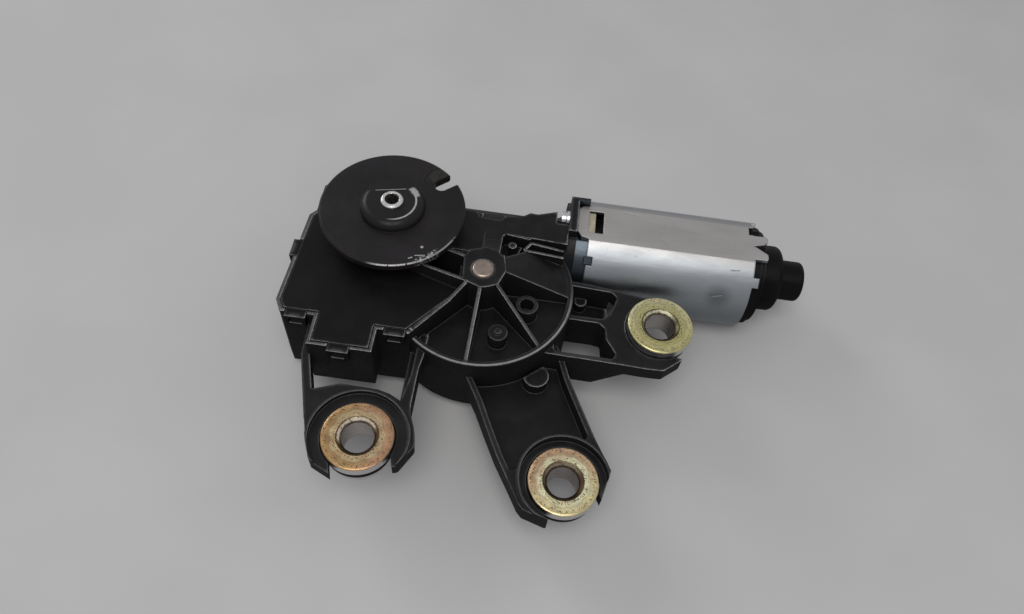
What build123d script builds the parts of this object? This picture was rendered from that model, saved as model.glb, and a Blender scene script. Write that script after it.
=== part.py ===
from build123d import *
import os
from math import atan2, cos, degrees, hypot, pi, radians, sin, tan

# Rear window wiper motor: a permanent-magnet motor drives a worm and wheel, and a crank, a
# connecting rod and a rocker lever turn that into the swing of a hollow output shaft. The shaft
# carries a slotted coupling disc. A moulded gear housing holds everything on three rubber-mounted
# arms. Millimetres. The origin is on the output shaft's axis, level with the top faces of the left
# and right mounting sleeves. +X runs along the motor from the gearbox to its end cap, +Z is up
# through the coupling disc.

# ---- Levels, along Z ----
RIM_Z = 0.5              # top of the gear case's rim
ROOF_Z = -2.5            # outside face of the gear case's roof
ROOF_THICK = 2.0
HUB_Z = 9.5              # platform round the gear axle
LID_Z = 4.7              # outside face of the clipped lid
LID_THICK = 1.6
WALL_TOP_Z = 4.4         # top of the wall that frames the lid
DECK_Z = 5.0             # roof over the worm
TRAY_Z = -8.0            # floor of the circuit board's tray
TRAY_THICK = 1.6
BAY_Z = -14.0            # underside of the tray's front bay
BASE_Z = -21.0           # underside of the housing, where the bottom cover seats
COVER_THICK = 2.0
FOOT_Z = -27.0           # underside of the cover's domes, level with the motor can

# ---- Gear train ----
WHEEL_AXIS = (30.0, -15.5)
MOTOR_Y = 11.8
MOTOR_Z = -11.0
WHEEL_TEETH = 50         # to a worm of one start
MODULE = 0.85
WHEEL_FACE = 7.4
TIP_GAP = 0.3
TOOTH_WIDTH = 1.08       # both flanks on the pitch line; the rest of the pitch is play
PRESSURE_ANGLE = 20.0
PITCH = pi * MODULE
TOOTH_TIP = 0.8           # height of a tooth outside the pitch circle
TOOTH_ROOT = TOOTH_TIP + TIP_GAP
WHEEL_PITCH_RADIUS = WHEEL_TEETH * MODULE / 2
WORM_PITCH_RADIUS = MOTOR_Y - WHEEL_AXIS[1] - WHEEL_PITCH_RADIUS
WORM_TURNS = 6
FLANK_PLAY = 0.23        # on each side of the worm's thread
CRANK_RADIUS = 9.0
ROCKER_RADIUS = 12.0
PARK_ANGLE = -167.3      # the rocker's direction at the parked end of its swing, degrees
CRANK_ANGLE = 162.9      # the crank's direction at that end, in line with the rod
ROCKER_Z = (-17.9, -15.4)
ROD_Z = (-20.6, -18.4)
CRANK_PIN_RADIUS = 2.2
ROD_EYE_RADIUS = 4.2
AXLE_RADIUS = 3.4

# ---- Gear case and box ----
CASE_RADIUS = 28.2
CASE_WALL = 2.4
RIM_WIDTH = 1.6
BOX_WALL = 2.2
RIB_THICK = 1.1
TOWER_RADIUS = 9.5       # bearing tower round the output shaft
BOX_OUTLINE = (
    (-21, 17), (-25, 13), (-25, 2.5), (-26.8, 0.5), (-28.3, -32.5), (-26, -36.2),
    (-16.2, -36.2), (2.5, -38), (11.4, -38), (27, -19), (27, 10.5), (20, 10.5), (14, 17),
)
BAY = (-16.2, 2.5, -45.8, -36.0)     # front bay of the tray: x from, to, y from, to
LID_OUTLINE = (
    (-23.9, 14), (-23.9, 2), (-25.6, 0), (-27.1, -32), (-25.4, -35), (-15.1, -35),
    (-15.1, -44.7), (1.4, -44.7), (1.4, -36.9), (10.8, -36.9), (24.2, -20.6), (8.5, -15.6),
    (0, -6), (0, 14),
)
CLIPS = (                # place and heading
    ((-21.6, -36.2), 0.0), ((-7.0, -45.8), 0.0), ((7.6, -38.0), 0.0), ((-27.4, -13.0), -90.0),
)
COVER_SCREWS = ((-22.6, -31.2), (-20.2, 11.4), (5.6, -34.2), (47.0, 5.4), (52.6, -36.0))
CONNECTOR = (-18.0, 4.0, -20.0, -9.5)      # x from, to, z from, to
CONNECTOR_Y = (17.0, 30.0)
HUB_OUTLINE = (
    (23.8, -12.5), (24.3, -19.3), (26.1, -20.9), (30, -22.3), (32.4, -21.7), (35.2, -20.2),
    (36.9, -15.3), (35.8, -9.5), (30, -7), (24.8, -9),
)
DECK_OUTLINE = (
    (19, -6), (28.5, -6), (35.2, 2.5), (42.5, 2.2), (54.6, 1.5), (54.6, 16), (44.3, 12.3),
    (41.9, 12.5), (39.6, 10.7), (33.9, 10), (33, 8), (26, 8.3), (25.1, 10.2), (19, 10.4),
)

DECK_FINS = (            # from, to, and the top's level at each end
    ((35.4, 2.8), (43, 2.2), 5.0, 4.6), ((43.4, 0.6), (53.7, -0.6), 4.6, 4.2),
    ((41.4, -2.5), (53.9, -3.2), 4.6, 4.2), ((41.4, -2.5), (43.4, 0.6), 4.6, 4.6),
)
FIN_THICK = 0.9
KNOB = (37.6, -1.3)

# ---- Output shaft and coupling disc ----
SHAFT_RADIUS = 4.0
SHAFT_TIP_RADIUS = 3.4
SHAFT_BORE = 2.2
SHAFT_TOP_Z = 17.5
DISC_RADIUS = 22.2
DISC_Z = (10.9, 13.6)    # underside and top of the disc's web
DISC_HUB_RADIUS = 9.9
DISC_TOP_RADIUS = 7.6
DISC_TOP_Z = 16.6
HUB_CHORD_Y = 4.6        # edge of the hub's flat, on its far side from the arms
HUB_CHORD_TURN = 13.0
SLOT_ANGLE = 41.0
SLOT_WIDTH = 4.5
SLOT_END = 17.4          # from the shaft to the middle of the slot's round end

# ---- Mounting sleeves and their rubber grommets; levels count down from a sleeve's top ----
SLEEVE_FLANGE = 10.0
SLEEVE_FLANGE_THICK = 3.2
SLEEVE_TUBE = 6.5
SLEEVE_BORE = 4.5
SLEEVE_LEAD_IN = 1.2      # bevel at the bore's upper end
SLEEVE_LENGTH = 9.0
SLEEVE_FOOT = 8.9
SLEEVE_FOOT_THICK = 3.0
SLEEVE_GAP = 0.3         # from the upper flange to the arm
GROMMET_NECK = 8.5
GROMMET_RADIUS = 9.6
EYE_TOP = -3.7
EYE_UNDER = -5.5
MOUTH_WIDTH = 16.4
LIP_WIDTH = 0.8          # raised lip round an eye

# ---- The three arms: sleeve axis, sleeve top, open side of the eye in degrees, plan outline ----
LEFT_EYE = (3.5, -69.4)
LEFT_TOP = 0.0
LEFT_OPEN = -74.0
LEFT_Z = (-5.5, -1.3)
LEFT_LIP = (14.2, 0.2)   # radius and top
LEFT_OUTLINE = (
    (-13.2, -57), (-12, -66.4), (-9.9, -72.9), (-7.7, -77.9), (-1.4, -80.8), (2.1, -80.3),
    (11.3, -77.2), (15.5, -76.1), (19, -69.8), (18, -64.5), (16.2, -60.3), (14, -57.4),
    (9.4, -55.1), (6, -54.2), (-5, -53.9),
)
LEFT_RAIL = (
    (-18.8, -34), (-18.2, -46), (-16.8, -50.8), (-12.3, -65.7), (-9.6, -65.7), (-14.2, -50.8),
    (-15.7, -46), (-16.3, -34),
)
RIGHT_RAIL = (
    (14.2, -34), (16.8, -34), (16.6, -41.3), (15.9, -46), (15.8, -57.5), (16.2, -60.5), (12.4, -59),
    (12.9, -54.8), (14, -48.4),
)
LEDGE = ((11.9, -34), (14.6, -34), (14.2, -57), (11.9, -57))
LEDGE_Z = -6.4
RAIL_Z = (-8.6, -1.3)

MIDDLE_EYE = (60.5, -71.4)
MIDDLE_TOP = -7.0
MIDDLE_OPEN = -64.0
MIDDLE_LIP = (13.2, -5.2)
MIDDLE_SINK = -8.1       # floor between the lip and the sleeve
MIDDLE_OUTLINE = (
    (27, -38), (29.5, -43.9), (33.5, -51), (36.8, -58), (41, -66.6), (48.7, -80), (50.2, -81.5),
    (56.8, -83.5), (68.7, -77.4), (71.3, -75.4), (72.7, -70), (73.4, -66.9), (68.7, -58.5),
    (64.1, -48.9), (59.9, -39.9), (57.1, -32.1), (54.6, -28), (40, -26),
)
MIDDLE_Z = (-16.0, -6.2)
MIDDLE_FLOOR = (-13.4, -11.6)
MIDDLE_WALL = 1.7

RIGHT_EYE = (85.4, -20.4)
RIGHT_TOP = 0.0
RIGHT_OPEN = -8.0
RIGHT_OUTLINE = (
    (48, -6), (58.3, -6.4), (64.7, -6.8), (71.1, -7.6), (81, -9.2), (91, -11.6), (95, -15.6),
    (95, -22), (93.2, -28.2), (92.6, -30.2), (87.1, -34.8), (82.2, -34.9), (74.2, -34.6),
    (63.7, -34.3), (50, -34),
)
RIGHT_RECESS = (
    (54, -7.9), (70.4, -8.8), (72.3, -10.4), (71.4, -13.5), (69.8, -17.8), (67.8, -19.2), (54, -19.2),
)
RIGHT_WINDOW = (
    (54, -32.7), (71.8, -33), (72.6, -31.2), (69.4, -26.2), (69.0, -22.6), (67, -20.9), (54, -20.7),
)
RIGHT_Z = (-8.0, -3.0)
RIGHT_DEEP_Z = -16.0

# ---- Motor ----
CAN_RADIUS = 17.5
CAN_FLAT = 16.0
CAN_WALL = 1.4
CAN_X = (61.2, 114.3)
COLLAR_X = (54.0, 63.0)
FLANGE_X = (54.6, 57.2)
CAN_TONGUE = (
    (62, 4.6), (61.2, 5.2), (58.8, 5.9), (57.4, 7.9), (57.4, 17.0), (58.6, 18.4), (62, 19),
)
CRIMP_TABS = (
    ((113, 11.3), (114.7, 11.3), (117.6, 12.2), (118.7, 13.4), (118.8, 14.8), (118.3, 15.6), (113, 15.4)),
    ((113, 5.8), (118.3, 5.9), (118.6, 6.8), (118.5, 8.3), (114.7, 10.9), (113, 10.9)),
)
TAB_ANGLE = 44.0         # of the side tabs, from the front over the top
MOTOR_SHAFT_RADIUS = 2.5
RUNNING_GAP = 0.03
STACK_RADIUS = 11.6
STACK_X = (75.0, 101.0)
MAGNET_RADII = (12.3, 15.8)
MAGNET_HALF_ANGLE = 52.0
COMMUTATOR_RADIUS = 5.6
COMMUTATOR_X = (65.2, 71.2)
CAP_X = (117.0, 118.5, 126.0, 134.3)    # ends of the cap's plug, flange, body and barrel
CAP_RADII = (15.0, 10.8, 6.6)
CAP_WALL = 1.6
FLANGE_SCREWS = ((MOTOR_Y + 1.0, MOTOR_Z + 15.2), (MOTOR_Y - 1.0, MOTOR_Z - 13.2))    # y, z

Z_UP = (Align.CENTER, Align.CENTER, Align.MIN)


# ---------------------------------------------------------------- shapes used again and again
def cyl(centre, z0, z1, radius):
    """An upright round bar."""
    return Pos(centre[0], centre[1], z0) * Cylinder(radius, z1 - z0, align=Z_UP)


def ring(centre, z0, z1, outer, inner):
    """An upright tube."""
    return cyl(centre, z0, z1, outer) - cyl(centre, z0 - 1, z1 + 1, inner)


def bar_x(x0, x1, radius, y=MOTOR_Y, z=MOTOR_Z):
    """A round bar along X, on the motor's axis unless another is given."""
    return Location((x0, y, z), (0, 90, 0)) * Cylinder(radius, x1 - x0, align=Z_UP)


def tube_x(x0, x1, outer, inner, y=MOTOR_Y, z=MOTOR_Z):
    """A tube along X."""
    return bar_x(x0, x1, outer, y, z) - bar_x(x0 - 1, x1 + 1, inner, y, z)


def flat_shape(outline):
    """A plan outline as a sketch."""
    return Polygon(*outline, align=None)


def slab(outline, z0, z1):
    """A plan outline between two levels."""
    face = flat_shape(outline) if isinstance(outline, tuple) else outline
    return extrude(Pos(0, 0, z0) * face, z1 - z0, dir=(0, 0, 1))


def block(x0, x1, y0, y1, z0, z1):
    """A box between two corners."""
    corner = (Align.MIN, Align.MIN, Align.MIN)
    return Pos(x0, y0, z0) * Box(x1 - x0, y1 - y0, z1 - z0, align=corner)


def polar(centre, radius, angle):
    """The point at a radius and an angle in degrees from a centre."""
    return (centre[0] + radius * cos(radians(angle)), centre[1] + radius * sin(radians(angle)))


def web(start, end, foot_z, start_z, end_z, thick=RIB_THICK):
    """An upright web whose top edge slopes from start_z to end_z."""
    length = hypot(end[0] - start[0], end[1] - start[1])
    heading = degrees(atan2(end[1] - start[1], end[0] - start[0]))
    side = Polygon((0, foot_z), (length, foot_z), (length, end_z), (0, start_z), align=None)
    upright = extrude(Plane.XZ * side, thick / 2, both=True)
    return Location((start[0], start[1], 0), (0, 0, heading)) * upright


def double_d(radius, flat):
    """A circle with its top and bottom cut flat, on the motor's axis."""
    face = Circle(radius) & Rectangle(2 * radius, 2 * flat)
    return Plane((0, MOTOR_Y, MOTOR_Z), x_dir=(0, 1, 0), z_dir=(1, 0, 0)) * face


def motor_section(radius, flat, x0, x1):
    """The motor's double-D section between two places along X."""
    return extrude(Pos(x0, 0, 0) * double_d(radius, flat), x1 - x0, dir=(1, 0, 0))


def on_motor(angle, x0, x1, width, low, high):
    """A box on the motor's side; the angle runs from the front over the top."""
    upright = block(x0, x1, -width / 2, width / 2, low, high)
    return Pos(0, MOTOR_Y, MOTOR_Z) * upright.rotate(Axis.X, 90 - angle)


def soft(outline, radius):
    """A plan outline with rounded corners."""
    face = flat_shape(outline) if isinstance(outline, tuple) else outline
    return fillet(face.vertices(), radius)


# ---------------------------------------------------------------- gear housing
def gear_case():
    """Round case over the worm wheel: a rim, a sunk roof, ribs, a hub and two bosses."""
    case = cyl(WHEEL_AXIS, BASE_Z, RIM_Z, CASE_RADIUS)
    case -= cyl(WHEEL_AXIS, ROOF_Z, RIM_Z + 1, CASE_RADIUS - RIM_WIDTH)
    case += slab(HUB_OUTLINE, ROOF_Z - 1, HUB_Z)
    case += conical_sector()
    rim_reach = CASE_RADIUS - RIM_WIDTH / 2
    case += web((30, -21.5), polar(WHEEL_AXIS, rim_reach, -92.5), ROOF_Z - 1, HUB_Z, RIM_Z)
    case += web((34.5, -20), polar(WHEEL_AXIS, rim_reach, -44), ROOF_Z - 1, HUB_Z, RIM_Z)
    return case + roof_bosses()


def conical_sector():
    """The raised part of the roof, which falls from the hub to the rim."""
    low = (CASE_RADIUS - RIM_WIDTH, RIM_Z)
    profile = Polygon((3, ROOF_Z - 1), (low[0], ROOF_Z - 1), low, (6.5, HUB_Z), (3, HUB_Z), align=None)
    sector = revolve(Plane.XZ * profile, Axis.Z, 46)
    sector = Pos(WHEEL_AXIS[0], WHEEL_AXIS[1], 0) * sector
    return sector - block(30, 60, -3.6, 20, ROOF_Z - 2, HUB_Z + 1)


def roof_bosses():
    """A tubular boss and a solid one that stand on the roof."""
    tube = ring((44.4, -21.6), ROOF_Z - 1, 2.8, 3.4, 2.1)
    stub = cyl((36.9, -32.4), ROOF_Z - 1, 2.4, 2.9) + cyl((36.9, -32.4), 2.4, 3.2, 1.1)
    return tube + stub


def left_box():
    """Box under the lid: walls, front bay, bearing tower and the webs between tower and hub."""
    box = slab(BOX_OUTLINE, BASE_Z, WALL_TOP_Z)
    box += block(*BAY, BAY_Z, WALL_TOP_Z)
    box += cyl((0, 0), TRAY_Z, HUB_Z, TOWER_RADIUS)
    box -= slab(((10.5, -14.5), (23, -18.6), (22.8, -11), (13, -6)), ROOF_Z, HUB_Z)
    box += web((25.5, -20.2), (8, -15), ROOF_Z, HUB_Z, 8.5)
    box += web((24.5, -11.5), (7, -6), ROOF_Z, HUB_Z, 8.5)
    box += web((25.8, -20.8), (21.4, -26), ROOF_Z, HUB_Z, 6.4)
    box += web((21.6, -25.8), (11.2, -38), ROOF_Z - 4, 6.4, WALL_TOP_Z)
    lid_seat = offset(flat_shape(LID_OUTLINE), 0.12) - Circle(TOWER_RADIUS)
    return box - slab(lid_seat, LID_Z - LID_THICK, HUB_Z)


def worm_tunnel_walls():
    """Walls round the worm with the deck above, the motor's flange and the collar of its can."""
    walls = slab(DECK_OUTLINE, -15, DECK_Z) + bar_x(14, 55, 9.8)
    walls += slab(((28.5, -10), (36, -12), (41, 3), (28.5, 3)), ROOF_Z, ROOF_Z + 2.5)
    neck = Polygon((-12, ROOF_Z), (2.6, ROOF_Z), (2.6, DECK_Z), (-0.5, DECK_Z + 0.2), (-8, HUB_Z),
                   (-12, HUB_Z), align=None)
    side = Plane((28.5, 0, 0), x_dir=(0, 1, 0), z_dir=(1, 0, 0)) * neck
    walls += extrude(side, 5.8, dir=(1, 0, 0))
    for start, end, start_z, end_z in DECK_FINS:
        walls += web(start, end, ROOF_Z, start_z, end_z, FIN_THICK)
    walls += cyl(KNOB, ROOF_Z, DECK_Z - 0.4, 1.3)
    walls += motor_section(CAN_RADIUS - CAN_WALL, CAN_FLAT - CAN_WALL, *COLLAR_X)
    walls += on_motor(TAB_ANGLE, 60.4, 62.9, 2.4, 15, CAN_RADIUS - 0.1)
    walls += block(*FLANGE_X, 5.8, 19.6, MOTOR_Z + 5, MOTOR_Z + 18)
    walls += block(FLANGE_X[0], 60.8, 19.0, 20.2, MOTOR_Z + 5, MOTOR_Z + 18)
    return walls + block(*FLANGE_X, MOTOR_Y - 13.5, MOTOR_Y + 4.8, MOTOR_Z - CAN_FLAT, MOTOR_Z - 5)


def open_eye(arm, centre, top, heading, flat_z):
    """Cut an arm for its sleeve: a clearance, a plate for the grommet's groove and a way in."""
    above = cyl(centre, top + EYE_TOP, flat_z + 2, SLEEVE_FLANGE + SLEEVE_GAP)
    below = cyl(centre, -30, top + EYE_UNDER, GROMMET_RADIUS + SLEEVE_GAP)
    groove = cyl(centre, -30, flat_z + 2, GROMMET_NECK)
    mouth = block(0, 30, -MOUTH_WIDTH / 2, MOUTH_WIDTH / 2, -30, flat_z + 2)
    return arm - above - below - groove - Location((*centre, 0), (0, 0, heading)) * mouth


def eye_lip(centre, lip, plan, low):
    """Raised lip round an eye, where the arm is wide enough for it."""
    radius, high = lip
    band = Pos(*centre) * (Circle(radius) - Circle(radius - LIP_WIDTH))
    return slab(band & plan, low, high)


def left_arm():
    """Two rails and an open eye, with a gap between them and the box."""
    low, high = LEFT_Z
    plan = soft(LEFT_OUTLINE, 1.2)
    arm = slab(plan, low, high) + eye_lip(LEFT_EYE, LEFT_LIP, plan, high - 1)
    rails = slab(LEFT_RAIL, *RAIL_Z) + slab(RIGHT_RAIL, *RAIL_Z) + slab(LEDGE, RAIL_Z[0], LEDGE_Z)
    arm += rails - cyl(LEFT_EYE, RAIL_Z[0] - 1, RAIL_Z[1] + 1, LEFT_LIP[0])
    return open_eye(arm, LEFT_EYE, LEFT_TOP, LEFT_OPEN, high)


def middle_arm():
    """A walled tray that ends in an open eye; its underside rises towards the eye."""
    low, high = MIDDLE_Z
    plan = soft(MIDDLE_OUTLINE, 0.8)
    arm = slab(plan, low, high)
    well = offset(plan, -MIDDLE_WALL) - Pos(*MIDDLE_EYE) * Circle(MIDDLE_LIP[0] + 0.2)
    well = offset(offset(well, -1.2), 1.2)
    arm -= slab(well, MIDDLE_FLOOR[1], high + 1)
    arm -= slab(well, low - 1, MIDDLE_FLOOR[0])
    boss = cyl((49.8, -39.4), MIDDLE_FLOOR[1] - 1, high - 1.4, 3.9)
    notch = Location((49.8, -39.4, 0), (0, 0, 40)) * block(-6, 6, 1.4, 6, -12, 0)
    arm += boss - notch
    eye_under = MIDDLE_TOP + EYE_UNDER
    rise = Polygon((-100, low - 1), (-45, low - 1), (-45, low), (-76, eye_under), (-100, eye_under), align=None)
    side = Plane((20, 0, 0), x_dir=(0, 1, 0), z_dir=(1, 0, 0)) * rise
    arm -= extrude(side, 70, dir=(1, 0, 0))
    arm -= cyl(MIDDLE_EYE, MIDDLE_SINK, high + 1, MIDDLE_LIP[0] - LIP_WIDTH)
    arm += eye_lip(MIDDLE_EYE, MIDDLE_LIP, plan, MIDDLE_SINK)
    return open_eye(arm, MIDDLE_EYE, MIDDLE_TOP, MIDDLE_OPEN, high)


def right_arm():
    """A plate with a recess and a see-through window, stiffened below near the gear case."""
    low, high = RIGHT_Z
    arm = slab(soft(RIGHT_OUTLINE, 1.2), low, high)
    deep = ((48, -6), (58.3, -6.4), (70, -7.6), (76, -34.6), (63.7, -34.3), (50, -34))
    arm += slab(deep, RIGHT_DEEP_Z, high)
    ramp = Polygon((66, RIGHT_DEEP_Z - 1), (80, RIGHT_DEEP_Z - 1), (80, low), (76, low), align=None)
    arm -= Pos(0, -20, 0) * extrude(Plane.XZ * ramp, 20, both=True)
    arm -= slab(soft(RIGHT_RECESS, 0.9), -12.5, high + 1)
    arm -= slab(soft(RIGHT_WINDOW, 0.9), RIGHT_DEEP_Z - 1, high + 1)
    arm += cyl((61.4, -9.4), -14, -9, 2.0)
    return open_eye(arm, RIGHT_EYE, RIGHT_TOP, RIGHT_OPEN, high)


def gear_housing():
    """The whole moulding, hollowed for the gears, the worm and the circuit board."""
    housing = left_box() + gear_case() + worm_tunnel_walls()
    housing += right_arm()
    housing += left_arm()
    housing += middle_arm()
    for place in COVER_SCREWS:
        housing += cyl(place, BASE_Z, BASE_Z + 4, 3.2)
    housing -= cavities()
    for place in COVER_SCREWS:
        housing += cyl(place, BASE_Z, BASE_Z + 3.4, 3.0)
        housing -= cyl(place, BASE_Z - 1, BASE_Z + 3, 1.3)
    housing -= cyl((0, 0), -30, 30, 5.6)
    housing -= cyl((0, 0), HUB_Z - 1.6, HUB_Z + 1, 7.0)
    housing -= cyl(WHEEL_AXIS, -10, HUB_Z + 1, AXLE_RADIUS)
    housing -= bar_x(48, 56, 6.0)
    housing -= bar_x(11.4, 18, 4.6)
    for y, z in FLANGE_SCREWS:
        housing -= bar_x(FLANGE_X[0] - 3, FLANGE_X[1] + 1, 1.6, y, z)
        housing -= bar_x(FLANGE_X[0] - 4, FLANGE_X[0], 3.1, y, z)
    for place, heading in CLIPS:
        notch = block(-3.3, 3.3, -0.5, 2.4, LID_Z - LID_THICK, LID_Z + 1)
        at_clip = Location((place[0], place[1], 0), (0, 0, heading))
        housing = housing - at_clip * notch + at_clip * catch()
    return housing


def cavities():
    """The hollows: gear chamber, linkage chamber, worm tunnel, motor's mouth and board tray."""
    chamber = cyl(WHEEL_AXIS, BASE_Z - 1, ROOF_Z - ROOF_THICK, CASE_RADIUS - CASE_WALL)
    linkage = slab(offset(flat_shape(BOX_OUTLINE), -BOX_WALL), BASE_Z - 1, TRAY_Z - TRAY_THICK)
    tunnel = bar_x(17, 49, WORM_PITCH_RADIUS + TOOTH_TIP + 0.6)
    mouth = motor_section(14.2, 12.8, 56, 70)
    tray = slab(offset(flat_shape(LID_OUTLINE), -1.1), TRAY_Z, LID_Z)
    tray -= cyl(WHEEL_AXIS, TRAY_Z - 1, ROOF_Z, CASE_RADIUS)
    tray -= cyl((0, 0), TRAY_Z - 1, LID_Z + 1, TOWER_RADIUS)
    hub_post = cyl(WHEEL_AXIS, -7.0, 0, 6.5)
    return (chamber - hub_post) + linkage + tunnel + mouth + tray


# ---------------------------------------------------------------- lid, bottom cover, screws
def top_lid():
    """Flat lid that drops into the box's rim, with clips at its front and left edges."""
    plan = flat_shape(LID_OUTLINE) - Circle(TOWER_RADIUS + 0.4)
    lid = slab(plan, LID_Z - LID_THICK, LID_Z)
    for place, heading in CLIPS:
        lid += Location((place[0], place[1], 0), (0, 0, heading)) * clip_loop()
    return lid


def clip_loop():
    """A U-shaped loop that hangs over the wall and hooks under a catch."""
    loop = block(-3.1, 3.1, -1.5, 0, -0.2, LID_Z - 0.4)
    loop += block(-3.1, 3.1, -1.5, 1.6, LID_Z - LID_THICK, LID_Z - 0.4)
    return loop - block(-1.9, 1.9, -3, 0.2, 0.9, 3.3)


def catch():
    """The wedge on the wall that a clip's loop hooks under."""
    side = Polygon((0.5, 1.1), (-1.2, 1.1), (-0.2, 3.0), (0.5, 3.0), align=None)
    at_left = Plane((-1.6, 0, 0), x_dir=(0, 1, 0), z_dir=(1, 0, 0))
    return extrude(at_left * side, 3.2, dir=(1, 0, 0))


def bottom_cover():
    """Plate that closes the housing from below, with a dome over the crank and one over the shaft."""
    plan = flat_shape(BOX_OUTLINE) + Pos(*WHEEL_AXIS) * Circle(CASE_RADIUS)
    for place in COVER_SCREWS[3:]:
        plan += Pos(*place) * Circle(3.2)
    cover = slab(plan, BASE_Z - COVER_THICK, BASE_Z)
    cover += cyl(WHEEL_AXIS, FOOT_Z, BASE_Z - 1, 16.0)
    cover += cyl((0, 0), FOOT_Z, BASE_Z - 1, 7.5)
    cover -= cyl(WHEEL_AXIS, FOOT_Z + COVER_THICK, BASE_Z + 1, 14.0)
    cover -= cyl((0, 0), FOOT_Z + COVER_THICK, BASE_Z + 1, 5.5)
    for angle in range(0, 360, 45):
        cover += web(polar(WHEEL_AXIS, 15, angle + 20), polar(WHEEL_AXIS, 24, angle + 20),
                     BASE_Z - 1, FOOT_Z, BASE_Z - COVER_THICK)
    cover -= motor_section(CAN_RADIUS, CAN_FLAT, COLLAR_X[0] - 0.4, 70)
    for place in COVER_SCREWS:
        cover -= cyl(place, BASE_Z - 9, BASE_Z + 1, 1.6)
    return cover


def cover_screws():
    """Pan-head screws that hold the bottom cover."""
    head_z = BASE_Z - COVER_THICK
    return [cyl(p, head_z - 2, head_z, 2.9) + cyl(p, head_z - 0.01, BASE_Z + 2.6, 1.3)
            for p in COVER_SCREWS]


def flange_screws():
    """Screws along the motor that hold its brush end to the housing."""
    x = FLANGE_X[0]
    return [bar_x(x - 2.6, x - 1.2, 2.3, *place) + bar_x(x - 1.3, x - 0.9, 1.9, *place)
            + bar_x(x - 1, x, 2.6, *place) + bar_x(x - 0.1, FLANGE_X[1], 1.6, *place)
            for place in FLANGE_SCREWS]


# ---------------------------------------------------------------- output shaft and linkage
def output_shaft():
    """Hollow stepped shaft."""
    shaft = cyl((0, 0), ROCKER_Z[0], DISC_Z[0], SHAFT_RADIUS)
    shaft += cyl((0, 0), DISC_Z[0] - 0.01, SHAFT_TOP_Z, SHAFT_TIP_RADIUS)
    shaft = chamfer(shaft.edges().group_by(Axis.Z)[-1], 0.4)
    return shaft - cyl((0, 0), -30, 30, SHAFT_BORE)


def output_bush(z0, z1):
    """A plain bearing for the output shaft."""
    return ring((0, 0), z0, z1, 5.6, SHAFT_RADIUS + RUNNING_GAP)


def shaft_seal():
    """Rubber ring at the top of the bearing tower."""
    return ring((0, 0), HUB_Z - 1.6, HUB_Z, 7.0, SHAFT_RADIUS + 0.3)


def lever(centre, tip, z, root_radius, tip_radius):
    """A flat link with round ends."""
    heading = degrees(atan2(tip[1] - centre[1], tip[0] - centre[0]))
    length = hypot(tip[0] - centre[0], tip[1] - centre[1])
    half = min(root_radius, tip_radius) * 0.75
    bar = Location((centre[0], centre[1], 0), (0, 0, heading)) * block(0, length, -half, half, *z)
    return cyl(centre, *z, root_radius) + cyl(tip, *z, tip_radius) + bar


def coupling_disc():
    """Pressed disc with a raised hub, flat on one side, and a slot in its edge."""
    low, high = DISC_Z
    foot, top = DISC_HUB_RADIUS, DISC_TOP_RADIUS
    with BuildSketch() as section:
        with BuildLine():
            Polyline((SHAFT_TIP_RADIUS, DISC_TOP_Z), (SHAFT_TIP_RADIUS, low), (DISC_RADIUS - 0.5, low),
                     (DISC_RADIUS, low + 0.5), (DISC_RADIUS, high - 0.4), (DISC_RADIUS - 0.5, high),
                     (foot, high))
            ThreePointArc((foot, high), (foot - 0.7, high + 2.2), (top, DISC_TOP_Z))
            Line((top, DISC_TOP_Z), (SHAFT_TIP_RADIUS, DISC_TOP_Z))
        make_face()
    disc = revolve(Plane.XZ * section.sketch, Axis.Z, 360)
    half = SLOT_WIDTH / 2
    slot = block(SLOT_END, 40, -half, half, low - 1, high + 1) + cyl((SLOT_END, 0), low - 1, high + 1, half)
    disc -= slot.rotate(Axis.Z, SLOT_ANGLE)
    step = Pos(-5, HUB_CHORD_Y, 0) * block(-12, 20, 0, 8, DISC_TOP_Z - 0.7, DISC_TOP_Z + 1)
    return disc - step.rotate(Axis.Z, HUB_CHORD_TURN)


ROCKER_PIN = polar((0, 0), ROCKER_RADIUS, PARK_ANGLE)
CRANK_PIN = polar(WHEEL_AXIS, CRANK_RADIUS, CRANK_ANGLE)


def rocker_lever():
    """Lever pressed on the output shaft."""
    arm = lever((0, 0), ROCKER_PIN, ROCKER_Z, 7.2, 4.2)
    return arm - cyl((0, 0), -30, 0, SHAFT_RADIUS) - cyl(ROCKER_PIN, -30, 0, CRANK_PIN_RADIUS)


def rocker_pin():
    """Pin of the rocker, which stops short of the rod's eye."""
    return cyl(ROCKER_PIN, ROCKER_Z[0] - 0.2, ROCKER_Z[1], CRANK_PIN_RADIUS)


def connecting_rod():
    """Flat rod from the crank pin to the rocker."""
    rod = lever(CRANK_PIN, ROCKER_PIN, ROD_Z, ROD_EYE_RADIUS, ROD_EYE_RADIUS)
    rod -= cyl(ROCKER_PIN, -30, 0, CRANK_PIN_RADIUS + RUNNING_GAP)
    return rod - cyl(CRANK_PIN, -30, 0, CRANK_PIN_RADIUS + RUNNING_GAP)


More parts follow.
